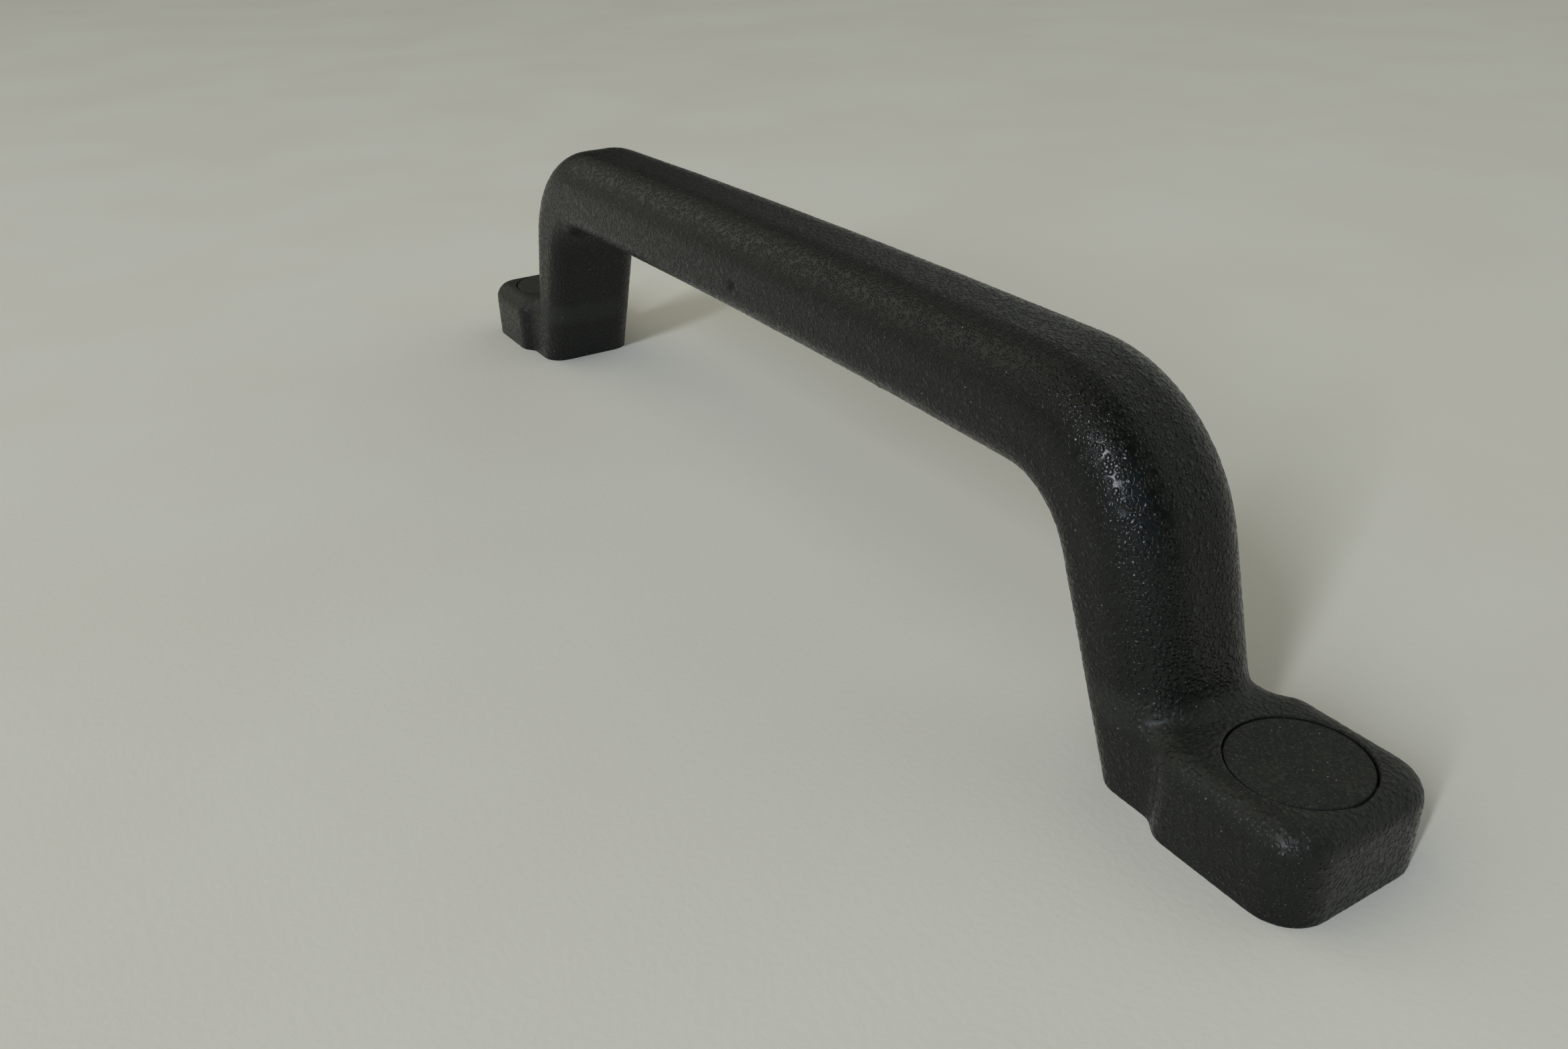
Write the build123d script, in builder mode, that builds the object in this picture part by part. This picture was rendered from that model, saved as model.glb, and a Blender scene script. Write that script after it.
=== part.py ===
from build123d import *

import os
from math import radians, tan

# Padded grab handle for a car door: a foam-filled, grained skin over a steel bar, with a
# screw hole under a push-in cap in each foot.
# Frame: +Z up from the face that the handle is screwed to, +X along the bar to the front
# foot, origin midway between the two feet. Millimetres.

# Outer form, seen from the side
LENGTH = 260.0
BAR_TOP = 53.4
BAR_CROWN = 1.1
BAR_THICKNESS = 16.6
LEG_OUTER_X = 109.5
LEG_OUTER_LEAN = 15.1
LEG_INNER_X = 95.2
LEG_INNER_LEAN = 20.5
OUTER_BEND = 28.0
INNER_BEND = 12.0
LEG_TO_FOOT_BEND = 3.0
FOOT_HEIGHT = 13.0

# Outer form, across
BAR_WIDTH = 21.4
OUTER_EDGE = 8.0
INNER_EDGE = 4.5
FOOT_WIDTH = 25.5
FOOT_CORNER = 6.0
FOOT_TOP_EDGE = 3.9
NECK_START_X = 99.7
NECK_END_X = 106.4
NECK_TURN = 43.4
NECK_INNER_BEND = 2.5
NECK_OUTER_BEND = 4.6
SKIN = 2.2

# Screws, one in each foot
HOLE_SPACING = 237.0
HOLE_RADIUS = 3.25

# Steel insert
ROD_RADIUS = 4.0
ROD_FOOT_X = 101.8
ROD_BEND = 19.0
PLATE_BOTTOM = 2.6
PLATE_THICKNESS = 3.0
PLATE_START_X = 97.2
PLATE_END_X = 127.2
PLATE_WIDTH = 16.0
PLATE_CORNER = 3.0
SLEEVE_RADIUS = 5.0
WASHER_RADIUS = 6.6
WASHER_THICKNESS = 1.5

# Pad let into the underside of each foot
PAD_THICKNESS = 1.5
PAD_HOLE_RADIUS = 5.1

# Cap and the socket that it snaps into
CAP_RADIUS = 8.7
CAP_GROOVE = 0.3
CAP_RECESS = 0.1
CAP_THICKNESS = 1.4
CAP_EDGE = 0.3
SKIRT_OUTER = 7.3
SKIRT_INNER = 6.3
SKIRT_DEPTH = 3.3
BEAD_RADIUS = 7.52
BEAD_HEIGHT = 0.8
SLOT_WIDTH = 1.6
SLOT_DEPTH = 2.4
SOCKET_INNER = 7.6
SOCKET_OUTER = 8.6
SOCKET_FLANGE_RADIUS = 9.0
SOCKET_FLANGE_BOTTOM = 8.4
SOCKET_FLANGE_THICKNESS = 1.0
SOCKET_CLEARANCE = 0.15
SOCKET_FLOOR = 0.8

# How near to a line or a plane a corner or an edge counts as being on it, and how far up a leg
# its rounded edges begin
NEAR = 0.1
EDGE_START = 3.0

PLATE_TOP = PLATE_BOTTOM + PLATE_THICKNESS
BAR_BOTTOM = BAR_TOP - BAR_THICKNESS
BAR_MIDDLE = BAR_TOP - BAR_THICKNESS / 2
CAP_TOP = FOOT_HEIGHT - CAP_RECESS
CAP_BOTTOM = CAP_TOP - CAP_THICKNESS
ENDS = {"front": 1, "rear": -1}

os.makedirs("parts", exist_ok=True)


def outer_x(z):
    return LEG_OUTER_X - z * tan(radians(LEG_OUTER_LEAN))


def inner_x(z):
    return LEG_INNER_X - z * tan(radians(LEG_INNER_LEAN))


def round_opening(edge):
    """Whether an edge of the bridge runs round the finger opening."""
    middle = edge @ 0.5
    return middle.Z < BAR_BOTTOM + BAR_CROWN + 2 * SKIN and abs(middle.X) < LEG_INNER_X


def over_bar(edge):
    """Whether an edge of the bridge runs along the top of the bar."""
    return (edge @ 0.5).Z > BAR_TOP - 2 * SKIN


def side_view(inset, base):
    """The bridge's side view with its outline moved inwards by inset, and legs down to base."""
    tail_x = HOLE_SPACING / 2
    low = base - inset
    with BuildSketch() as view:
        with BuildLine():
            for side in ENDS.values():
                Polyline(
                    (side * inner_x(BAR_BOTTOM), BAR_BOTTOM),
                    (side * inner_x(low), low),
                    (side * tail_x, low),
                    (side * tail_x, FOOT_HEIGHT),
                    (side * outer_x(FOOT_HEIGHT), FOOT_HEIGHT),
                    (side * outer_x(BAR_TOP), BAR_TOP),
                )
            for height in (BAR_TOP, BAR_BOTTOM):
                end_x = outer_x(height) if height == BAR_TOP else inner_x(height)
                ThreePointArc((-end_x, height), (0, height + BAR_CROWN), (end_x, height))
        make_face()
        corners = view.vertices()
        top_corners = corners.filter_by_position(Axis.Y, BAR_TOP - NEAR, BAR_TOP + NEAR)
        fillet(top_corners, OUTER_BEND)
        corners = view.vertices()
        opening_corners = corners.filter_by_position(Axis.Y, BAR_BOTTOM - NEAR, BAR_BOTTOM + NEAR)
        fillet(opening_corners, INNER_BEND)
        corners = view.vertices()
        corners = corners.filter_by_position(Axis.Y, FOOT_HEIGHT - NEAR, FOOT_HEIGHT + NEAR)
        foot_corners = corners.filter_by(lambda v: abs(v.X) < tail_x - NEAR)
        fillet(foot_corners, LEG_TO_FOOT_BEND)
        if inset:
            offset(amount=-inset, kind=Kind.INTERSECTION)
    return view.sketch


def foot_plan(inset, side):
    """A foot's outline from above: a neck as wide as the leg that widens in an S-bend."""
    turn = radians(NECK_TURN)
    run = (FOOT_WIDTH - BAR_WIDTH) / 2 / tan(turn)
    neck = [
        (NECK_START_X - inset, BAR_WIDTH / 2),
        (NECK_END_X, BAR_WIDTH / 2),
        (NECK_END_X + run, FOOT_WIDTH / 2),
        (LENGTH / 2, FOOT_WIDTH / 2),
    ]
    outline = [(side * x, y) for x, y in neck] + [(side * x, -y) for x, y in reversed(neck)]
    bends = {NECK_END_X: NECK_INNER_BEND, NECK_END_X + run: NECK_OUTER_BEND, LENGTH / 2: FOOT_CORNER}
    with BuildSketch() as plan:
        with BuildLine():
            Polyline(*outline, close=True)
        make_face()
        for x, radius in bends.items():
            corners = plan.vertices()
            corners = corners.filter_by_position(Axis.X, side * x - NEAR, side * x + NEAR)
            fillet(corners, radius)
        if inset:
            offset(amount=-inset, kind=Kind.INTERSECTION)
    return plan.sketch


def bridge_form(inset, base):
    """The bar and both legs, with rounded long edges. Tangent edges are rounded along with these."""
    view = side_view(inset, base)
    half_width = BAR_WIDTH / 2 - inset
    with BuildPart() as bridge:
        with BuildSketch(Plane.XZ):
            add(view)
        extrude(amount=half_width, both=True)
        for chosen, radius in ((round_opening, INNER_EDGE), (over_bar, OUTER_EDGE)):
            for y in (-half_width, half_width):
                rim = bridge.edges().filter_by_position(Axis.Y, y - NEAR, y + NEAR)
                long_edges = rim.filter_by(chosen).filter_by(lambda e: (e @ 0.5).Z > EDGE_START)
                fillet(long_edges, radius - inset)
    return bridge.part


def foot_form(inset, base, side):
    """One foot's block, with a rounded top edge."""
    plan = foot_plan(inset, side)
    with BuildPart() as foot:
        with BuildSketch(Plane.XY.offset(base)):
            add(plan)
        extrude(amount=FOOT_HEIGHT - inset - base)
        top_edges = foot.faces().sort_by(Axis.Z)[-1].edges()
        buried = top_edges.sort_by(Axis.X)[0 if side > 0 else -1]
        fillet(top_edges - [buried], FOOT_TOP_EDGE - inset)
    return foot.part


def padded_form(inset, base):
    """The handle's whole form with every surface moved inwards by inset, cut off at base."""
    bridge = bridge_form(inset, base)
    feet = [foot_form(inset, base, side) for side in ENDS.values()]
    with BuildPart() as form:
        add(bridge)
        add(feet)
    return form.part


def save(piece, name):
    piece.label = name
    export_step(piece, f"parts/{name}.step")


outer_form = padded_form(0.0, 0.0)
inner_form = padded_form(SKIN, -1.0)

# Skin: one grained shell, open under both feet, with a round hole over each screw
with BuildPart() as grip_skin:
    add(outer_form)
    add(inner_form, mode=Mode.SUBTRACT)
    with BuildSketch(Plane.XY.offset(FOOT_HEIGHT)):
        with GridLocations(HOLE_SPACING, 0, 2, 1):
            Circle(CAP_RADIUS + CAP_GROOVE)
    extrude(amount=-2 * SKIN, mode=Mode.SUBTRACT)
save(grip_skin.part, "grip_skin")

# Steel bar: bent to the middle of the legs and the bar, and cut flat on the foot plates
rod_top = BAR_MIDDLE + BAR_CROWN / 2
rod_corner_x = (outer_x(rod_top) + inner_x(rod_top)) / 2
rod_slope = (ROD_FOOT_X - rod_corner_x) / (rod_top - PLATE_TOP)
with BuildPart() as core_rod:
    with BuildLine() as rod_route:
        FilletPolyline(
            (ROD_FOOT_X + rod_slope * ROD_RADIUS, 0, PLATE_TOP - ROD_RADIUS),
            (rod_corner_x, 0, rod_top),
            (-rod_corner_x, 0, rod_top),
            (-ROD_FOOT_X - rod_slope * ROD_RADIUS, 0, PLATE_TOP - ROD_RADIUS),
            radius=ROD_BEND,
        )
    with BuildSketch(Plane(origin=rod_route.line @ 0, z_dir=rod_route.line % 0)):
        Circle(ROD_RADIUS)
    sweep()
    split(bisect_by=Plane.XY.offset(PLATE_TOP), keep=Keep.TOP)
save(core_rod.part, "core_rod")

# Foam: fills the skin round the steel bar, down to the foot pads
with BuildPart() as foam_core:
    add(inner_form)
    split(bisect_by=Plane.XY.offset(PAD_THICKNESS), keep=Keep.TOP)
    add(core_rod.part, mode=Mode.SUBTRACT)
    with BuildSketch(Plane.XY.offset(PLATE_BOTTOM)):
        for side in ENDS.values():
            with Locations((side * (PLATE_START_X + PLATE_END_X) / 2, 0)):
                RectangleRounded(PLATE_END_X - PLATE_START_X, PLATE_WIDTH, PLATE_CORNER)
    extrude(amount=PLATE_THICKNESS, mode=Mode.SUBTRACT)
    for low, high, radius in (
        (0, PLATE_BOTTOM, SLEEVE_RADIUS),
        (PLATE_TOP, FOOT_HEIGHT, SOCKET_OUTER),
        (SOCKET_FLANGE_BOTTOM, SOCKET_FLANGE_BOTTOM + SOCKET_FLANGE_THICKNESS, SOCKET_FLANGE_RADIUS),
    ):
        with BuildSketch(Plane.XY.offset(low)):
            with GridLocations(HOLE_SPACING, 0, 2, 1):
                Circle(radius)
        extrude(amount=high - low, mode=Mode.SUBTRACT)
save(foam_core.part, "foam_core")


def foot_plate(side):
    """Stamped steel plate: the bar is welded to one end of it, and the screw goes through the other."""
    with BuildPart() as plate:
        with BuildSketch(Plane.XY.offset(PLATE_BOTTOM)):
            with Locations((side * (PLATE_START_X + PLATE_END_X) / 2, 0)):
                RectangleRounded(PLATE_END_X - PLATE_START_X, PLATE_WIDTH, PLATE_CORNER)
            with Locations((side * HOLE_SPACING / 2, 0)):
                Circle(HOLE_RADIUS, mode=Mode.SUBTRACT)
        extrude(amount=PLATE_THICKNESS)
    return plate.part


def ring(side, low, thickness, radius):
    """Flat ring round a screw hole."""
    with BuildPart() as body:
        with BuildSketch(Plane.XY.offset(low)):
            with Locations((side * HOLE_SPACING / 2, 0)):
                Circle(radius)
                Circle(HOLE_RADIUS, mode=Mode.SUBTRACT)
        extrude(amount=thickness)
    return body.part


def foot_pad(side):
    """Thin pad that fills the opening under a foot, flush with the skin's rim."""
    with BuildPart() as pad:
        add(inner_form)
        with BuildSketch(Plane.XY):
            with Locations((side * LENGTH / 4, 0)):
                Rectangle(LENGTH / 2, FOOT_WIDTH)
        extrude(amount=PAD_THICKNESS, mode=Mode.INTERSECT)
        with BuildSketch(Plane.XY):
            with Locations((side * HOLE_SPACING / 2, 0)):
                Circle(PAD_HOLE_RADIUS)
        extrude(amount=PAD_THICKNESS, mode=Mode.SUBTRACT)
    return pad.part


def cap_socket(side):
    """Cup round the screw's head, held in the foam by its flange. The cap's skirt snaps into it."""
    flange_top = SOCKET_FLANGE_BOTTOM + SOCKET_FLANGE_THICKNESS
    rim = CAP_BOTTOM - SOCKET_CLEARANCE
    outline = [
        (WASHER_RADIUS + SOCKET_CLEARANCE, PLATE_TOP),
        (SOCKET_OUTER, PLATE_TOP),
        (SOCKET_OUTER, SOCKET_FLANGE_BOTTOM),
        (SOCKET_FLANGE_RADIUS, SOCKET_FLANGE_BOTTOM),
        (SOCKET_FLANGE_RADIUS, flange_top),
        (SOCKET_OUTER, flange_top),
        (SOCKET_OUTER, rim),
        (SOCKET_INNER, rim),
        (SOCKET_INNER, PLATE_TOP + SOCKET_FLOOR),
        (WASHER_RADIUS + SOCKET_CLEARANCE, PLATE_TOP + SOCKET_FLOOR),
    ]
    with BuildPart() as socket:
        with BuildSketch(Plane.XZ.move(Location((side * HOLE_SPACING / 2, 0, 0)))):
            with BuildLine():
                Polyline(*outline, close=True)
            make_face()
        revolve(axis=Axis((side * HOLE_SPACING / 2, 0, 0), (0, 0, 1)))
    return socket.part


def screw_cap(side):
    """Flush round cap with a slotted skirt, and a bead on the skirt that grips the socket."""
    skirt_bottom = CAP_BOTTOM - SKIRT_DEPTH
    bead_middle = skirt_bottom + BEAD_HEIGHT
    outline = [
        (0, CAP_BOTTOM),
        (SKIRT_INNER, CAP_BOTTOM),
        (SKIRT_INNER, skirt_bottom),
        (SKIRT_OUTER, skirt_bottom),
        (SKIRT_OUTER, bead_middle - BEAD_HEIGHT / 2),
        (BEAD_RADIUS, bead_middle),
        (SKIRT_OUTER, bead_middle + BEAD_HEIGHT / 2),
        (SKIRT_OUTER, CAP_BOTTOM),
        (CAP_RADIUS, CAP_BOTTOM),
        (CAP_RADIUS, CAP_TOP),
        (0, CAP_TOP),
    ]
    with BuildPart() as cap:
        with BuildSketch(Plane.XZ.move(Location((side * HOLE_SPACING / 2, 0, 0)))):
            with BuildLine():
                Polyline(*outline, close=True)
            make_face()
        revolve(axis=Axis((side * HOLE_SPACING / 2, 0, 0), (0, 0, 1)))
        fillet(cap.edges().sort_by(Axis.Z)[-1], CAP_EDGE)
        with BuildSketch(Plane.XY.offset(skirt_bottom)):
            with Locations((side * HOLE_SPACING / 2, 0)):
                for turn in (45, 135):
                    Rectangle(2 * CAP_RADIUS, SLOT_WIDTH, rotation=turn)
        extrude(amount=SLOT_DEPTH, mode=Mode.SUBTRACT)
    return cap.part


for end, side in ENDS.items():
    save(foot_plate(side), f"{end}_foot_plate")
    save(ring(side, 0, PLATE_BOTTOM, SLEEVE_RADIUS), f"{end}_spacer_sleeve")
    save(ring(side, PLATE_TOP, WASHER_THICKNESS, WASHER_RADIUS), f"{end}_load_washer")
    save(foot_pad(side), f"{end}_foot_pad")
    save(cap_socket(side), f"{end}_cap_socket")
    save(screw_cap(side), f"{end}_screw_cap")
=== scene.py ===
"""A padded grab handle for a car door: the looks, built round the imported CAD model.

The skin is a new piece: the CAD skin's outer surface, remeshed, with its creases softened and the
grain pressed into it, hollowed by the CAD skin's own inner surface. Every other piece keeps its CAD
mesh and gets its own procedural material. Lengths are in metres, and in millimetres where it says so.
"""

import math

import bmesh
import bpy
import numpy as np
from mathutils import Matrix, Vector


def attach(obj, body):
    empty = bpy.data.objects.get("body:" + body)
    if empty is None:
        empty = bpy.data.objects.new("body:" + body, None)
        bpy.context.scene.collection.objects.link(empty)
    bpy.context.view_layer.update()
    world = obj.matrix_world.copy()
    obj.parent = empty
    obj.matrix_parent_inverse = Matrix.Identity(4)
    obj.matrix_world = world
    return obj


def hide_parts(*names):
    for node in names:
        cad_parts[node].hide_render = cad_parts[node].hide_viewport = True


MM = 0.001

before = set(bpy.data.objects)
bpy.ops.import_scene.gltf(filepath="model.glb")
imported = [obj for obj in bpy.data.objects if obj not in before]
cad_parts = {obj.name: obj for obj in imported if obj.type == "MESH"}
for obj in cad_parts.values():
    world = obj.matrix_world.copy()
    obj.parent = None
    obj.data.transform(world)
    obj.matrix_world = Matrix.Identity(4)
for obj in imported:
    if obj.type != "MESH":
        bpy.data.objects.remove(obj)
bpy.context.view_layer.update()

# ---------------------------------------------------------------- the skin's shape, in millimetres
HOLE_X = 118.5  # the middle of each cap hole, from the handle's middle
HOLE_RADIUS = 9.0
HOLE_BEVEL = 0.14  # the worn edge round each cap hole
WALL_SLACK = 0.03  # a hole's wall lies this close to its radius
WALL_BOTTOM = 9.0
FOOT_TOP = 13.0
BASE_SLACK = 0.01  # the skin's base rim lies this close to the mounting plane
RIM_BASE = 0.1  # an open rim lower than this is at the base
RIM_HOLE = 5.0  # and one higher than this is at a cap hole
WELD = 0.001  # points closer than this are one point
VOXEL = 0.4  # the remeshed skin's faces are this long
BASE_SPARE = 2.0  # how far the blank runs below the base before it is cut flat
CREASE_FROM, CREASE_TO, CREASE_TOP = 94.0, 108.0, 17.0  # where leg and foot meet
EVEN_ROUNDS, CREASE_ROUNDS = 3, 8  # rounds of smoothing, everywhere and then in the creases
SMOOTHING = 0.5  # share of the way to its neighbours' middle that a point moves in a round
SHARP = math.radians(50)  # edges that turn more than this shade as edges

GRAIN_PITCH = 0.74
GRAIN_DISORDER = 0.8  # 0 would be a square lattice of pebbles, and 1 no order at all
PEBBLE_EDGE, PEBBLE_TOP = 0.68, 0.18  # in pitches from a pebble's middle
SWAY, SWAY_SCALE = 0.55, 0.8  # how far the lattice is pushed about, and how often that changes
LATTICE_TURN = (0.61, 0.47, 0.35)  # in radians about x, y and z
RING_RADIUS, RING_WIDTH = 0.50, 0.16  # in pitches
RING_DEPTH = 0.05
RING_GAPS = (0.38, 0.52)  # a noise below the first has no ring, and above the second a whole one
WORN_HEIGHT = 12.7  # dirt fills the rings at this height, on the tops of the feet
WORN_FULL, WORN_END = 0.8, 4.0  # how far above and below it the dirt is whole, and where it ends
GRAIN_RELIEF = 0.05  # how far the pebbles' tops stand over the valleys in the mesh
SUNK = 0.6  # share of that relief by which the valleys lie below the smooth surface
GRAIN_DEPTH = 0.075  # depth of the pebbles in the material's bump
# Marks from handling on the near side: (x, y, z, radius, depth), where a negative depth stands out.
MARKS = (
    (0.4, -10.7, 44.0, 1.4, 0.55),
    (3.4, -10.7, 43.2, 1.6, 0.12),
    (12.1, -9.2, 38.2, 0.9, -0.14),
    (43.5, -9.2, 38.4, 1.0, -0.12),
    (38.0, -9.0, 38.2, 0.8, 0.2),
)
MARK_FALL = 2.2  # how fast a mark fades away from its middle
MARK_STRETCH = (1.0, 0.8, 1.0)  # below 1, a mark reaches further along that axis


# ---------------------------------------------------------------- node trees
MIX_SHARE, MIX_A, MIX_B, MIX_RESULT = 0, 6, 7, 2  # a Mix node's sockets when it mixes colours


class Tree:
    """Adds linked nodes to one node tree. It serves materials and geometry nodes alike."""

    def __init__(self, tree):
        self.tree = tree

    def add(self, kind, inputs=(), **settings):
        node = self.tree.nodes.new(kind)
        for name, value in settings.items():
            setattr(node, name, value)
        for key, value in dict(inputs).items():
            self.set(node.inputs[key], value)
        return node

    def set(self, socket, value):
        if isinstance(value, bpy.types.NodeSocket):
            self.tree.links.new(value, socket)
        else:
            socket.default_value = value

    def math(self, operation, a, b=0.0, c=0.0):
        node = self.add("ShaderNodeMath", operation=operation)
        for socket, value in zip(node.inputs, (a, b, c)):
            self.set(socket, value)
        return node.outputs[0]

    def vector(self, operation, a, b=(0, 0, 0), c=(0, 0, 0)):
        node = self.add("ShaderNodeVectorMath", operation=operation)
        for socket, value in zip(node.inputs, (a, b, c)):
            self.set(socket, value)
        return node.outputs[0]

    def scaled(self, a, factor):
        return self.add("ShaderNodeVectorMath", {0: a, "Scale": factor}, operation="SCALE").outputs[0]

    def noise(self, at, scale, detail=2.0, roughness=0.5, output="Fac"):
        inputs = {"Vector": at, "Scale": scale, "Detail": detail, "Roughness": roughness}
        return self.add("ShaderNodeTexNoise", inputs).outputs[output]

    def cells(self, at, scale, randomness=1.0):
        inputs = {"Vector": at, "Scale": scale, "Randomness": randomness}
        return self.add("ShaderNodeTexVoronoi", inputs)

    def between(self, value, low, high, to_low=0.0, to_high=1.0):
        """value's place from low to high, eased in and out, as a number from to_low to to_high."""
        node = self.add("ShaderNodeMapRange", interpolation_type="SMOOTHSTEP", clamp=True)
        for socket, number in zip(node.inputs, (value, low, high, to_low, to_high)):
            self.set(socket, number)
        return node.outputs[0]

    def blend(self, share, a, b):
        """Colour a where share is 0 and b where it is 1."""
        node = self.add("ShaderNodeMix", data_type="RGBA", blend_type="MIX")
        self.set(node.inputs[MIX_SHARE], share)
        self.set(node.inputs[MIX_A], a)
        self.set(node.inputs[MIX_B], b)
        return node.outputs[MIX_RESULT]


def srgb(red, green, blue):
    """A colour of the screen, from 0 to 255, as the linear colour that the shader takes."""

    def linear(value):  # the sRGB standard's curve
        share = value / 255
        return share / 12.92 if share <= 0.04045 else ((share + 0.055) / 1.055) ** 2.4

    return (linear(red), linear(green), linear(blue), 1.0)


def start_material(name, **constants):
    """A new material: its tree, its surface shader, and a position socket in millimetres."""
    material = bpy.data.materials.new(name)
    material.use_nodes = True
    tree = Tree(material.node_tree)
    material.node_tree.nodes.clear()
    shader = tree.add("ShaderNodeBsdfPrincipled")
    output = tree.add("ShaderNodeOutputMaterial")
    tree.set(output.inputs["Surface"], shader.outputs[0])
    for key, value in constants.items():
        shader.inputs[key.replace("_", " ")].default_value = value
    place = tree.add("ShaderNodeTexCoord").outputs["Object"]
    return material, tree, shader, tree.scaled(place, 1 / MM)


def bump(tree, height, depth, over=None):
    """A bump that is depth millimetres high, laid over another bump if there is one."""
    inputs = {"Height": height, "Distance": depth * MM, "Strength": 1.0}
    if over is not None:
        inputs["Normal"] = over
    return tree.add("ShaderNodeBump", inputs).outputs[0]


def specks(tree, mm, pitch, radius, kept):
    """Small round specks, 1 inside and 0 outside, in the kept share of a random lattice's cells."""
    solid = 0.6  # share of the radius inside which a speck is whole
    cell = tree.cells(mm, 1.0 / pitch)
    dot = tree.between(cell.outputs["Distance"], radius / pitch, solid * radius / pitch)
    luck = tree.add("ShaderNodeSeparateXYZ", {0: cell.outputs["Color"]}).outputs[0]
    return tree.math("MULTIPLY", dot, tree.math("LESS_THAN", luck, kept))


# ---------------------------------------------------------------- the grain
def swayed(tree, mm):
    """The position, turned so that no flat face lies along the pebbles' lattice, and pushed about."""
    turned = tree.add("ShaderNodeVectorRotate", {"Vector": mm, "Rotation": LATTICE_TURN},
                      rotation_type="EULER_XYZ").outputs[0]
    sway = tree.noise(mm, SWAY_SCALE, detail=1.0, output="Color")
    return tree.vector("MULTIPLY_ADD", sway, (SWAY, SWAY, SWAY), turned)


def from_pebble(tree, mm):
    """The distance from the middle of the nearest pebble, in pitches."""
    lattice = tree.cells(swayed(tree, mm), 1.0 / GRAIN_PITCH, randomness=GRAIN_DISORDER)
    return lattice.outputs["Distance"]


def pebbles(tree, mm):
    """The grain's rounded pebbles, 1 on their tops and 0 in the valleys between them."""
    return tree.between(from_pebble(tree, mm), PEBBLE_EDGE, PEBBLE_TOP)


def rings(tree, mm):
    """Fine grooves that run part of the way round each pebble, 1 at a groove's bottom."""
    off = tree.math("ABSOLUTE", tree.math("SUBTRACT", from_pebble(tree, mm), RING_RADIUS))
    line = tree.between(off, RING_WIDTH, 0.0)
    whole = tree.between(tree.noise(mm, scale=1.1, detail=1.0), *RING_GAPS)
    return tree.math("MULTIPLY", line, whole)


def foot_top(tree, mm):
    """1 on the tops of the feet, falling to 0 a few millimetres above and below them."""
    height = tree.add("ShaderNodeSeparateXYZ", {0: mm}).outputs["Z"]
    away = tree.math("ABSOLUTE", tree.math("SUBTRACT", height, WORN_HEIGHT))
    return tree.between(away, WORN_END, WORN_FULL)


def press_grain(skin):
    """A geometry-nodes modifier that moves the skin's surface out and in by the pebbles."""
    group = bpy.data.node_groups.new("pressed_grain", "GeometryNodeTree")
    for side in ("INPUT", "OUTPUT"):
        group.interface.new_socket("Geometry", in_out=side, socket_type="NodeSocketGeometry")
    tree = Tree(group)
    mm = tree.scaled(tree.add("GeometryNodeInputPosition").outputs[0], 1 / MM)
    relief = GRAIN_RELIEF * MM
    rise = tree.math("MULTIPLY_ADD", pebbles(tree, mm), relief, -SUNK * relief)
    offset = tree.scaled(tree.add("GeometryNodeInputNormal").outputs[0], rise)
    blank = tree.add("NodeGroupInput").outputs[0]
    moved = tree.add("GeometryNodeSetPosition", {"Geometry": blank, "Offset": offset})
    tree.set(tree.add("NodeGroupOutput").inputs[0], moved.outputs[0])
    skin.modifiers.new("grain", "NODES").node_group = group


# ---------------------------------------------------------------- objects and meshes
def new_object(name, data):
    made = bpy.data.objects.new(name, data)
    bpy.context.scene.collection.objects.link(made)
    return made


def apply_modifiers(made):
    """Turns the shape that an object's modifiers make into its own mesh."""
    graph = bpy.context.evaluated_depsgraph_get()
    graph.update()
    mesh = bpy.data.meshes.new_from_object(made.evaluated_get(graph))
    made.modifiers.clear()
    made.data = mesh
    made.vertex_groups.clear()


def points_of(mesh):
    points = np.empty(len(mesh.vertices) * 3)
    mesh.vertices.foreach_get("co", points)
    return points.reshape(-1, 3)


def put_points(mesh, points):
    mesh.vertices.foreach_set("co", points.ravel())
    mesh.update()


def on_rim(face):
    """Whether a face of the CAD skin is on its base rim or in the wall of a cap hole."""

    def from_hole(point):
        return math.hypot(abs(point.x) / MM - HOLE_X, point.y / MM)

    def in_wall(point):
        return point.z > WALL_BOTTOM * MM and abs(from_hole(point) - HOLE_RADIUS) < WALL_SLACK

    points = [vert.co for vert in face.verts]
    return all(p.z < BASE_SLACK * MM for p in points) or all(in_wall(p) for p in points)


def joined_to(start):
    """Every point that can be reached from a point along the mesh's edges."""
    reached, frontier = {start}, [start]
    while frontier:
        vert = frontier.pop()
        for link in vert.link_edges:
            other = link.other_vert(vert)
            if other not in reached:
                reached.add(other)
                frontier.append(other)
    return reached


def split_skin(node):
    """The CAD skin's outer and inner surfaces as two open bmeshes, without the rims that join them."""
    whole = bmesh.new()
    whole.from_mesh(node.data)
    bmesh.ops.remove_doubles(whole, verts=whole.verts, dist=WELD * MM)
    bmesh.ops.delete(whole, geom=[f for f in whole.faces if on_rim(f)], context="FACES")
    parts = []
    for keep_outer in (True, False):
        part = whole.copy()
        top = max(part.verts, key=lambda vert: vert.co.z)  # the top of the bar is on the outer surface
        outer = joined_to(top)
        drop = [vert for vert in part.verts if (vert in outer) != keep_outer]
        bmesh.ops.delete(part, geom=drop, context="VERTS")
        parts.append(part)
    whole.free()
    return parts


def open_edges(part):
    return [edge for edge in part.edges if edge.is_boundary]


def close_faces(part):
    """Fills every hole of a bmesh, and splits the many-sided faces that this makes."""
    bmesh.ops.holes_fill(part, edges=open_edges(part), sides=0)
    bmesh.ops.triangulate(part, faces=[face for face in part.faces if len(face.verts) > 4])


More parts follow.
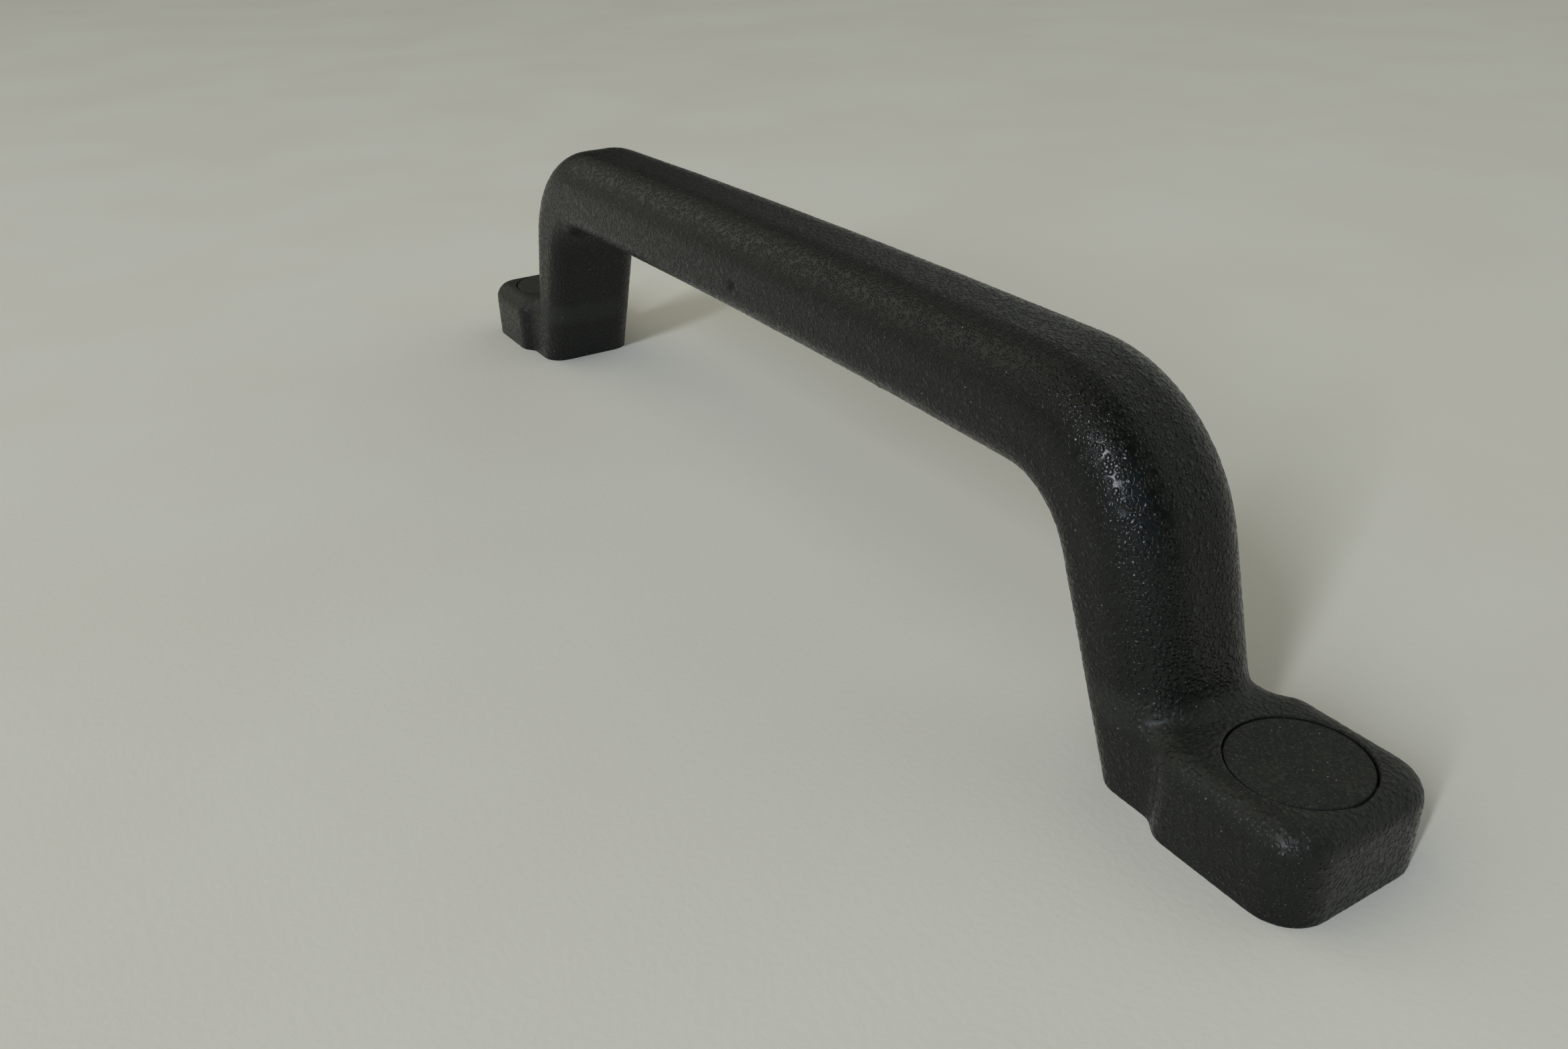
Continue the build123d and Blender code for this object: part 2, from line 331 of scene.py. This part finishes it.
def extend_rim(part, near, steps):
    """Draws the open edge at the base, or at the cap holes, out into a wall.

    near says which edges. steps is a list of (height, radius) in millimetres, where the radius is
    from the middle of a cap hole, or None to go straight down.
    """
    rim = [edge for edge in open_edges(part) if all(near(vert.co) for vert in edge.verts)]
    for height, radius in steps:
        made = bmesh.ops.extrude_edge_only(part, edges=rim)["geom"]
        rim = [item for item in made if isinstance(item, bmesh.types.BMEdge)]
        for vert in {vert for edge in rim for vert in edge.verts}:
            vert.co.z = height * MM
            if radius is not None:
                middle = math.copysign(HOLE_X * MM, vert.co.x)
                out = Vector((vert.co.x - middle, vert.co.y)).normalized() * radius * MM
                vert.co.x, vert.co.y = middle + out.x, out.y


def close_up(part, name):
    """Closes a bmesh, faces its surface outward and makes an object of it."""
    close_faces(part)
    bmesh.ops.recalc_face_normals(part, faces=part.faces)
    mesh = bpy.data.meshes.new(name)
    part.to_mesh(mesh)
    part.free()
    return new_object(name, mesh)


def at_base(point):
    return point.z < RIM_BASE * MM


def at_hole(point):
    return point.z > RIM_HOLE * MM


def soften(skin):
    """Evens out the remeshed surface, and rounds the creases where leg and foot meet."""
    points = np.abs(points_of(skin.data)) / MM
    crease = (points[:, 0] > CREASE_FROM) & (points[:, 0] < CREASE_TO) & (points[:, 2] < CREASE_TOP)
    group = skin.vertex_groups.new(name="crease")
    group.add([int(i) for i in np.flatnonzero(crease)], 1.0, "REPLACE")
    for name, rounds, where in (("all", EVEN_ROUNDS, ""), ("creases", CREASE_ROUNDS, "crease")):
        smooth = skin.modifiers.new(name, "SMOOTH")
        smooth.factor = SMOOTHING
        smooth.iterations = rounds
        smooth.vertex_group = where
    apply_modifiers(skin)


def mark(mesh):
    """Presses the dent and the small nicks into the skin."""
    points = points_of(mesh)
    normals = np.empty(len(mesh.vertices) * 3)
    mesh.vertices.foreach_get("normal", normals)
    normals = normals.reshape(-1, 3)
    for x, y, z, radius, depth in MARKS:
        away = np.linalg.norm((points / MM - (x, y, z)) * MARK_STRETCH, axis=1) / radius
        push = depth * MM * np.exp(-MARK_FALL * away**2)
        points -= normals * push[:, None]
    put_points(mesh, points)


def cut_flat(mesh):
    """Cuts the blank off at the base plane and closes it there."""
    part = bmesh.new()
    part.from_mesh(mesh)
    everything = part.verts[:] + part.edges[:] + part.faces[:]
    bmesh.ops.bisect_plane(
        part, geom=everything, plane_co=(0, 0, 0), plane_no=(0, 0, 1), clear_inner=True
    )
    close_faces(part)
    part.to_mesh(mesh)
    part.free()


def grained_blank(outer):
    """The skin as a solid with no hollow: remeshed, softened, marked, grained and cut flat."""
    extend_rim(outer, at_base, [(-BASE_SPARE, None)])
    blank = close_up(outer, "skin")
    remesh = blank.modifiers.new("remesh", "REMESH")
    remesh.mode = "VOXEL"
    remesh.voxel_size = VOXEL * MM
    apply_modifiers(blank)
    soften(blank)
    mark(blank.data)
    press_grain(blank)
    apply_modifiers(blank)
    cut_flat(blank.data)
    return blank


def hollow_out(skin, inner):
    """Cuts the CAD skin's inside, and its two cap holes with a worn edge, out of the blank."""
    extend_rim(inner, at_base, [(-BASE_SPARE, None)])
    wall_end = (FOOT_TOP - HOLE_BEVEL, HOLE_RADIUS)
    worn_edge = (FOOT_TOP + HOLE_BEVEL, HOLE_RADIUS + 2 * HOLE_BEVEL)
    extend_rim(inner, at_hole, [wall_end, worn_edge])
    hollow = close_up(inner, "hollow")
    cut = skin.modifiers.new("hollow", "BOOLEAN")
    cut.operation = "DIFFERENCE"
    cut.solver = "MANIFOLD"
    cut.object = hollow
    apply_modifiers(skin)
    bpy.data.objects.remove(hollow)


def build_skin(material):
    """Builds the grained, hollow skin that stands in for the CAD one."""
    outer, inner = split_skin(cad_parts["grip_skin"])
    skin = grained_blank(outer)
    hollow_out(skin, inner)
    skin.data.shade_smooth()
    skin.data.set_sharp_from_angle(angle=SHARP)
    skin.data.materials.clear()
    skin.data.materials.append(material)
    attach(skin, "handle")
    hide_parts("grip_skin")


# ---------------------------------------------------------------- materials
# The materials' positions are in millimetres, so a noise of scale 2 has blots half a millimetre apart,
# and a lattice of 2 has two cells to the millimetre. Roughness runs from 0, a mirror, to 1, matt.
WIDE = (0.30, 0.70)  # most of a noise's values lie in this range
NARROW = (0.35, 0.65)  # the same, with more of them held at the two ends


def dust_of_two_sizes(tree, fine, coarse, fine_shows):
    """Two sizes of specks together, the fine ones fainter."""
    return tree.math("MAXIMUM", tree.math("MULTIPLY", fine, fine_shows), coarse)


def grained_skin():
    """Black moulded vinyl: shiny plateaus, dull ring grooves, specks, and a film of dirt on the feet."""
    black, soft_black, dirty = srgb(18, 20, 17), srgb(23, 25, 21), srgb(48, 49, 43)
    # the groove colour is painted shade, for the ring grooves
    groove_shade_black, dust_grey = srgb(8, 8, 7), srgb(150, 150, 138)
    shiny, duller = 0.18, 0.24  # the plateaus' roughness
    grit_dulls, film_dulls, ring_dulls = 0.10, 0.22, 0.25  # what each adds to it
    film_fills = 0.7  # share of a ring's depth that the film takes up
    thin_film, thick_film = 0.25, 0.9
    ring_shade, dust_covers = 0.8, 0.75
    grit_height = 0.12  # share of a pebble's height

    material, tree, shader, mm = start_material("grained_skin", IOR=1.36)
    film = foot_top(tree, mm)
    ring = tree.math("MULTIPLY", rings(tree, mm), tree.math("MULTIPLY_ADD", film, -film_fills, 1.0))
    cloudy = tree.noise(mm, scale=0.06, detail=3.0)
    grit = tree.noise(mm, scale=6.0, detail=3.0)

    # The grit's noise is 0.5 on average, so half of what it adds is taken off first.
    dull = tree.math("ADD", tree.between(cloudy, *NARROW, shiny, duller), -0.5 * grit_dulls)
    dull = tree.math("MULTIPLY_ADD", grit, grit_dulls, dull)
    dull = tree.math("MULTIPLY_ADD", film, film_dulls, dull)
    rough = tree.math("MULTIPLY_ADD", ring, ring_dulls, dull)

    plain = tree.blend(tree.between(cloudy, *WIDE), black, soft_black)
    patches = tree.noise(mm, scale=2.6, detail=5.0, roughness=0.75)
    dirt = tree.math("MULTIPLY", film, tree.between(patches, 0.40, 0.70, thin_film, thick_film))
    filmed = tree.blend(dirt, plain, dirty)
    # painted shade: the ring grooves are darkened in colour, standing in for the shade that falls in
    # them
    groove_shaded = tree.blend(tree.math("MULTIPLY", ring, ring_shade), filmed, groove_shade_black)
    fine = specks(tree, mm, pitch=1.0, radius=0.08, kept=0.7)
    coarse = specks(tree, mm, pitch=2.4, radius=0.13, kept=0.5)
    dust = dust_of_two_sizes(tree, fine, coarse, fine_shows=0.45)
    colour = tree.blend(tree.math("MULTIPLY", dust, dust_covers), groove_shaded, dust_grey)
    tree.set(shader.inputs["Base Color"], colour)
    tree.set(shader.inputs["Roughness"], tree.math("MAXIMUM", rough, dust))

    plateau_grit = tree.noise(mm, scale=9.0, detail=2.0)
    plateau = tree.math("MULTIPLY_ADD", plateau_grit, grit_height, pebbles(tree, mm))
    raised = bump(tree, plateau, GRAIN_DEPTH)
    carved = bump(tree, tree.math("SUBTRACT", 1.0, ring), RING_DEPTH, raised)
    tree.set(shader.inputs["Normal"], carved)
    return material


def cap_plastic():
    """Black moulded plastic with a fine spark-eroded matte face, hairline scratches and dust."""
    black, soft_black, pale = srgb(27, 29, 25), srgb(33, 34, 29), srgb(64, 65, 56)
    scratch_grey, dust_grey = srgb(80, 82, 72), srgb(160, 160, 140)
    pale_shows, scratch_shows, dust_covers = 0.8, 0.25, 0.8
    smoothest, roughest = 0.62, 0.80
    scratch_depth = 0.4  # share of the matte face's height

    material, tree, shader, mm = start_material("cap_plastic", IOR=1.38)
    matte = tree.noise(mm, scale=2.6, detail=5.0, roughness=0.75)
    broad = tree.noise(mm, scale=0.25, detail=3.0)
    stretched = tree.vector("MULTIPLY", mm, (0.5, 9.0, 0.5))  # so that the scratches run along x
    hair = tree.between(tree.noise(stretched, scale=0.8, detail=1.0), 0.70, 0.78)
    fine = specks(tree, mm, pitch=0.45, radius=0.075, kept=0.3)
    coarse = specks(tree, mm, pitch=1.4, radius=0.12, kept=0.6)
    dust = dust_of_two_sizes(tree, fine, coarse, fine_shows=0.5)

    plain = tree.blend(tree.between(broad, *NARROW), black, soft_black)
    mottled = tree.blend(tree.between(matte, 0.47, 0.62, 0.0, pale_shows), plain, pale)
    rubbed = tree.blend(tree.math("MULTIPLY", hair, scratch_shows), mottled, scratch_grey)
    dusty = tree.blend(tree.math("MULTIPLY", dust, dust_covers), rubbed, dust_grey)
    tree.set(shader.inputs["Base Color"], dusty)
    tree.set(shader.inputs["Roughness"], tree.between(matte, *WIDE, smoothest, roughest))
    height = tree.math("SUBTRACT", matte, tree.math("MULTIPLY", hair, scratch_depth))
    tree.set(shader.inputs["Normal"], bump(tree, height, depth=0.14))
    return material


def pad_rubber():
    """Closed-cell foam rubber: dull, dark, with fine pores in painted shade and a pressed skin."""
    dark, lighter, pore_shade_black = srgb(46, 46, 45), srgb(58, 57, 54), srgb(22, 22, 22)
    pore_edge, pore_core = 0.42, 0.16  # share of a cell's width from a pore's middle
    pores_show, broad_height = 0.7, 0.5
    smoothest, roughest = 0.78, 0.92
    material, tree, shader, mm = start_material("pad_rubber", IOR=1.45)
    pores = tree.between(tree.cells(mm, scale=2.6).outputs["Distance"], pore_edge, pore_core)
    broad = tree.noise(mm, scale=0.2, detail=3.0)
    plain = tree.blend(tree.between(broad, *WIDE), dark, lighter)
    # painted shade: the pores are darkened in colour, standing in for the shade inside them
    pore_shaded = tree.blend(tree.math("MULTIPLY", pores, pores_show), plain, pore_shade_black)
    tree.set(shader.inputs["Base Color"], pore_shaded)
    tree.set(shader.inputs["Roughness"], tree.between(broad, *WIDE, smoothest, roughest))
    height = tree.math("MULTIPLY_ADD", broad, broad_height, tree.math("SUBTRACT", 1.0, pores))
    tree.set(shader.inputs["Normal"], bump(tree, height, depth=0.12))
    return material


def foam():
    """Semi-rigid moulded foam, tan, with open cells in painted shade and yellowed patches."""
    tan, yellowed, pore_shade_brown = srgb(205, 190, 150), srgb(186, 160, 108), srgb(120, 98, 62)
    pore_edge, pore_core = 0.5, 0.1  # share of a cell's width from a pore's middle
    pores_show = 0.55
    smoothest, roughest = 0.80, 0.95
    material, tree, shader, mm = start_material("foam", IOR=1.4)
    pores = tree.between(tree.cells(mm, scale=1.6).outputs["Distance"], pore_edge, pore_core)
    broad = tree.noise(mm, scale=0.12, detail=4.0)
    plain = tree.blend(tree.between(broad, *WIDE), tan, yellowed)
    # painted shade: the open cells are darkened in colour, standing in for the shade inside them
    pore_shaded = tree.blend(tree.math("MULTIPLY", pores, pores_show), plain, pore_shade_brown)
    tree.set(shader.inputs["Base Color"], pore_shaded)
    tree.set(shader.inputs["Roughness"], tree.between(broad, *WIDE, smoothest, roughest))
    tree.set(shader.inputs["Normal"], bump(tree, tree.math("SUBTRACT", 1.0, pores), depth=0.18))
    return material


def insert_steel():
    """Hot-rolled steel with a thin dark phosphate coat and mill scale."""
    coat, pale_coat, scale_brown = srgb(58, 60, 64), srgb(84, 85, 88), srgb(112, 98, 84)
    scale_from, scale_full = 0.56, 0.66  # the noise at which mill scale starts, and where it is whole
    coat_metal, scale_metal = 0.85, 0.6
    smoothest, roughest = 0.42, 0.62
    grit_height = 0.4  # share of the scale's height
    material, tree, shader, mm = start_material("insert_steel", IOR=1.8)
    scale = tree.noise(mm, scale=0.8, detail=6.0, roughness=0.65)
    grit = tree.noise(mm, scale=8.0, detail=3.0)
    plain = tree.blend(tree.between(grit, *WIDE), coat, pale_coat)
    scaly = tree.blend(tree.between(scale, scale_from, scale_full), plain, scale_brown)
    tree.set(shader.inputs["Base Color"], scaly)
    tree.set(shader.inputs["Metallic"], tree.between(scale, 0.4, 0.7, coat_metal, scale_metal))
    tree.set(shader.inputs["Roughness"], tree.between(scale, *WIDE, smoothest, roughest))
    height = tree.math("MULTIPLY_ADD", grit, grit_height, scale)
    tree.set(shader.inputs["Normal"], bump(tree, height, depth=0.06))
    return material


def from_screw_axis(tree, mm):
    """The distance from the nearer screw's axis and the height along it, as a vector."""
    parts = tree.add("ShaderNodeSeparateXYZ", {0: mm}).outputs
    along = tree.math("SUBTRACT", tree.math("ABSOLUTE", parts["X"]), HOLE_X)
    across = parts["Y"]
    squared = tree.math("MULTIPLY_ADD", along, along, tree.math("MULTIPLY", across, across))
    places = {"X": tree.math("SQRT", squared), "Y": parts["Z"]}
    return tree.add("ShaderNodeCombineXYZ", places).outputs[0]


def sleeve_steel():
    """Turned, zinc-plated steel: fine rings round the screw's axis under a clear plating."""
    zinc, yellow_zinc = srgb(172, 172, 168), srgb(196, 190, 172)
    smoothest, roughest = 0.24, 0.42
    ring_pitches = (9.0, 9.0, 1.0)  # how close the turned rings lie, outward and along the axis
    material, tree, shader, mm = start_material("sleeve_steel", Metallic=1.0)
    turned = tree.vector("MULTIPLY", from_screw_axis(tree, mm), ring_pitches)
    grooves = tree.noise(turned, scale=1.0, detail=2.0)
    cloudy = tree.noise(mm, scale=0.7, detail=3.0)
    tree.set(shader.inputs["Base Color"], tree.blend(tree.between(cloudy, *NARROW), zinc, yellow_zinc))
    tree.set(shader.inputs["Roughness"], tree.between(grooves, *WIDE, smoothest, roughest))
    tree.set(shader.inputs["Normal"], bump(tree, grooves, depth=0.015))
    return material


def socket_plastic():
    """Black moulded nylon: a low sheen, faint flow marks and a fine orange-peel."""
    black, soft_black = srgb(22, 22, 23), srgb(32, 32, 31)
    smoothest, roughest = 0.34, 0.48
    material, tree, shader, mm = start_material("socket_plastic", IOR=1.53)
    drawn_up = tree.vector("MULTIPLY", mm, (1.0, 1.0, 0.3))  # so that the marks run along z
    flow = tree.noise(drawn_up, scale=0.5, detail=4.0)
    peel = tree.noise(mm, scale=3.5, detail=2.0)
    tree.set(shader.inputs["Base Color"], tree.blend(tree.between(flow, *NARROW), black, soft_black))
    tree.set(shader.inputs["Roughness"], tree.between(flow, *WIDE, smoothest, roughest))
    tree.set(shader.inputs["Normal"], bump(tree, peel, depth=0.03))
    return material


MATERIALS = {
    "foam": foam,
    "insert_steel": insert_steel,
    "sleeve_steel": sleeve_steel,
    "socket_plastic": socket_plastic,
    "cap_plastic": cap_plastic,
    "pad_rubber": pad_rubber,
}


def dress_cad_nodes():
    """Gives each carried-over CAD node the detailed material of its own slot."""
    made = {slot: build() for slot, build in MATERIALS.items()}
    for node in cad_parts.values():
        slot = node.data.materials[0].name
        if slot in made:
            node.material_slots[0].material = made[slot]
        node.data.shade_smooth()


# ---------------------------------------------------------------- stage
FLOOR_HALF = 4.0
FLOOR_DROP = 0.02  # millimetres below the base
FOOT_INNER, FOOT_OUTER, FOOT_SIDE = 98.0, 129.0, 10.0  # the openings under the feet, in millimetres


def floor_mesh():
    """A square sheet of faces, with one left out under each foot."""
    inner, outer, side = FOOT_INNER * MM, FOOT_OUTER * MM, FOOT_SIDE * MM
    across = (-FLOOR_HALF, -outer, -inner, inner, outer, FLOOR_HALF)
    along = (-FLOOR_HALF, -side, side, FLOOR_HALF)
    left_out = ((1, 1), (1, 3))  # row and column
    points = [(x, y, -FLOOR_DROP * MM) for y in along for x in across]
    faces = []
    for row in range(len(along) - 1):
        for column in range(len(across) - 1):
            if (row, column) not in left_out:
                corner = row * len(across) + column
                above = corner + len(across)
                faces.append((corner, corner + 1, above + 1, above))
    mesh = bpy.data.meshes.new("floor")
    mesh.from_pydata(points, [], faces)
    return mesh


def backdrop_paper():
    """Pale paper with faint clouds and a fine tooth, which shows from above only."""
    warm_white, paler = srgb(230, 226, 218), srgb(233, 230, 222)
    smoothest, roughest = 0.75, 0.85
    material, tree, shader, mm = start_material("backdrop", Specular_IOR_Level=0.2)
    cloudy = tree.noise(mm, scale=0.012, detail=3.0)
    tooth = tree.noise(mm, scale=0.9, detail=3.0)
    tree.set(shader.inputs["Base Color"], tree.blend(tree.between(cloudy, *WIDE), warm_white, paler))
    tree.set(shader.inputs["Roughness"], tree.between(cloudy, *WIDE, smoothest, roughest))
    tree.set(shader.inputs["Normal"], bump(tree, tooth, depth=0.05))
    from_below = tree.add("ShaderNodeNewGeometry").outputs["Backfacing"]
    clear = tree.add("ShaderNodeBsdfTransparent").outputs[0]
    sides = tree.add("ShaderNodeMixShader", {0: from_below, 1: shader.outputs[0], 2: clear})
    output = next(node for node in material.node_tree.nodes if node.type == "OUTPUT_MATERIAL")
    tree.set(output.inputs["Surface"], sides.outputs[0])
    return material


def build_floor():
    """The pale floor. Its openings let light reach the underside, and also the screw holes."""
    floor = new_object("floor", floor_mesh())
    floor.data.materials.append(backdrop_paper())


# ---------------------------------------------------------------- light
WINDOW_DIRECTION = Vector((0.362, -0.777, 0.515))
WINDOW_DISTANCE = 2.2
WINDOW_SIZE = (0.10, 1.10)
WINDOW_POWER = 20.8  # watts
WINDOW_COLOUR = (0.90, 0.945, 1.0)
ROOM_GREY = (0.01, 0.01, 0.01)
ROOM_GLOWS = (  # direction of the middle, cosine at which its light starts, and colour in the middle
    ((0.12, 1.0, 0.2), 0.2, (0.56, 0.58, 0.52)),
    ((-0.5, -0.5, 0.7), 0.5, (0.65, 0.62, 0.51)),
    ((-0.78, -0.31, 0.51), 0.93, (0.28, 0.34, 0.29)),
    ((0.6, -0.8, 0.2), 0.6, (0.24, 0.40, 0.55)),
)
BELOW_GREY = (0.4, 0.4, 0.4, 1.0)  # the light from under the floor, in the openings
BACKDROP = srgb(172, 173, 164)  # what the camera sees past the floor's edge


def build_window():
    """The one lamp: a tall, narrow window whose light falls on the handle's near side."""
    data = bpy.data.lights.new("window", "AREA")
    data.shape = "RECTANGLE"
    data.size, data.size_y = WINDOW_SIZE
    data.energy = WINDOW_POWER
    data.color = WINDOW_COLOUR
    lamp = new_object("window", data)
    lamp.visible_camera = False
    lamp.location = WINDOW_DIRECTION.normalized() * WINDOW_DISTANCE
    lamp.rotation_euler = WINDOW_DIRECTION.to_track_quat("Z", "Y").to_euler()


def build_room():
    """A dim room with soft glows: pale ones behind the handle and over it, and a cool one in front.

    Past the floor's edge the camera sees a plain backdrop in place of the glows.
    """
    world = bpy.data.worlds.new("room")
    bpy.context.scene.world = world
    world.use_nodes = True
    tree = Tree(world.node_tree)
    toward = tree.add("ShaderNodeTexCoord").outputs["Generated"]
    light = ROOM_GREY
    for middle, start, colour in ROOM_GLOWS:
        pair = {0: toward, 1: Vector(middle).normalized()}
        facing = tree.add("ShaderNodeVectorMath", pair, operation="DOT_PRODUCT").outputs["Value"]
        light = tree.vector("MULTIPLY_ADD", tree.between(facing, start, 1.0), colour, light)
    height = tree.add("ShaderNodeSeparateXYZ", {0: toward}).outputs["Z"]
    light = tree.blend(tree.math("LESS_THAN", height, 0.0), light, BELOW_GREY)
    seen = tree.add("ShaderNodeLightPath").outputs["Is Camera Ray"]
    shown = tree.blend(seen, light, BACKDROP)
    tree.set(world.node_tree.nodes["Background"].inputs["Color"], shown)


# ---------------------------------------------------------------- camera
CAMERA_PLACE = (0.19288, -0.11405, 0.11192)
CAMERA_TURN = math.radians(59.69)  # from +Y towards -X
CAMERA_DIP = math.radians(27.92)
CAMERA_ROLL = math.radians(-1.914)
SENSOR_WIDTH, FOCAL_LENGTH = 36.0, 29.42  # millimetres
NEAREST_SEEN = 0.01


def build_camera():
    """The camera at the photograph's viewing angle."""
    data = bpy.data.cameras.new("camera")
    data.sensor_width = SENSOR_WIDTH
    data.lens = FOCAL_LENGTH
    data.clip_start = NEAREST_SEEN
    camera = new_object("camera", data)
    aim = Matrix.Rotation(CAMERA_TURN, 4, "Z") @ Matrix.Rotation(math.pi / 2 - CAMERA_DIP, 4, "X")
    camera.matrix_world = Matrix.Translation(CAMERA_PLACE) @ aim @ Matrix.Rotation(CAMERA_ROLL, 4, "Z")
    bpy.context.scene.camera = camera


build_camera()
build_floor()
build_window()
build_room()
dress_cad_nodes()
build_skin(grained_skin())
bpy.context.scene.view_settings.view_transform = "Standard"
